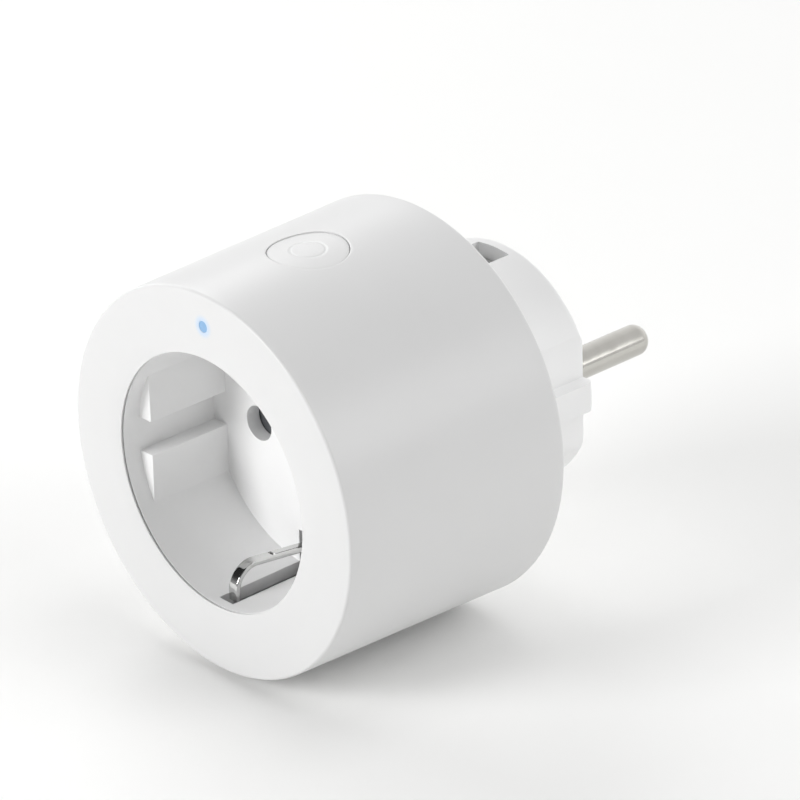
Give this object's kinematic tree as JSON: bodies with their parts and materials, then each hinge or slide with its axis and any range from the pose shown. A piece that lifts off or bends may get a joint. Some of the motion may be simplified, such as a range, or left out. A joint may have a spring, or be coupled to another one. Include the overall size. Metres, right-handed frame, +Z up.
{
  "type": "smart plug",
  "caption": "Round white smart plug for a Schuko wall outlet: a drafted cylinder with a recessed through-socket, a push button on top and a small blue status light.",
  "frame": {"origin": "centre of the end face of the boss that enters the wall outlet, midway between the two pins", "axes": "+Y along the plug axis, into the wall; the front face points to -Y; +Z up, with the button on top; +X to the right seen from the front"},
  "size_m": [0.0616, 0.077, 0.0616],
  "materials": {
    "shell_plastic": "moulded, satin gloss",
    "insert_plastic": "moulded, satin",
    "inner_plastic": "moulded",
    "grey_plastic": "moulded, low friction",
    "black_plastic": "moulded",
    "light_window": "clear, lit from behind",
    "led_lens": "clear resin",
    "spring_steel": "drawn wire",
    "screw_steel": "zinc plated",
    "contact_bronze": "stamped",
    "copper_strip": "stamped",
    "nickel_pin": "nickel plated, polished",
    "nickel_sheet": "nickel plated sheet",
    "tinned_can": "tinned sheet",
    "circuit_board": "solder mask",
    "capacitor_sleeve": "shrink sleeve",
    "varistor_coat": "dipped coating",
    "resistor_coat": "dipped coating",
    "ferrite": "sintered, copper winding"
  },
  "bodies": {
    "housing": {"outer_shell": "shell_plastic", "socket_insert": "insert_plastic", "rear_housing": "insert_plastic", "light_pipe": "light_window", "status_led": "led_lens", "shutter_retainer": "inner_plastic", "shutter_spring": "spring_steel", "retainer_screws": "screw_steel", "housing_screws": "screw_steel", "line_socket_contact": "contact_bronze", "neutral_socket_contact": "contact_bronze", "line_busbar": "copper_strip", "neutral_busbar": "copper_strip", "line_pin": "nickel_pin", "neutral_pin": "nickel_pin", "earth_bar": "nickel_sheet", "upper_plug_earth": "nickel_sheet", "lower_plug_earth": "nickel_sheet", "power_board": "circuit_board", "control_board": "circuit_board", "relay": "black_plastic", "bulk_capacitor": "capacitor_sleeve", "output_capacitor": "capacitor_sleeve", "varistor": "varistor_coat", "fuse_resistor": "resistor_coat", "power_inductor": "ferrite", "bridge_rectifier": "black_plastic", "converter_chip": "black_plastic", "radio_shield": "tinned_can", "tact_switch": "black_plastic", "board_header": "black_plastic"},
    "button": {"button_cap": "shell_plastic"},
    "plunger": {"switch_plunger": "inner_plastic"},
    "shutter": {"shutter": "grey_plastic"},
    "upper_clip": {"upper_earth_clip": "nickel_sheet"},
    "lower_clip": {"lower_earth_clip": "nickel_sheet"}
  },
  "joints": [
    {"name": "button_press", "type": "slide", "parent": "housing", "child": "button", "axis": [0, 0, -1], "range_m": [0, 0.0005], "stiffness_N_per_m": 3200},
    {"name": "plunger_press", "type": "slide", "parent": "housing", "child": "plunger", "axis": [0, 0, -1], "range_m": [0, 0.0005]},
    {"name": "shutter_turn", "type": "hinge", "parent": "housing", "child": "shutter", "pos_m": [0, -0.0373, 0], "axis": [0, -1, 0], "range_deg": [0, 38], "stiffness_Nm_per_rad": 0.012, "springref_deg": -11.46},
    {"name": "upper_clip_flex", "type": "hinge", "parent": "housing", "child": "upper_clip", "pos_m": [0, -0.03482, 0.01696], "axis": [-1, 0, 0], "range_deg": [0, 6], "stiffness_Nm_per_rad": 0.9},
    {"name": "lower_clip_flex", "type": "hinge", "parent": "housing", "child": "lower_clip", "pos_m": [0, -0.03482, -0.01696], "axis": [1, 0, 0], "range_deg": [0, 6], "stiffness_Nm_per_rad": 0.9}
  ],
  "couplings": [
    {"joint": "plunger_press", "follows": "button_press", "ratio": 1}
  ]
}
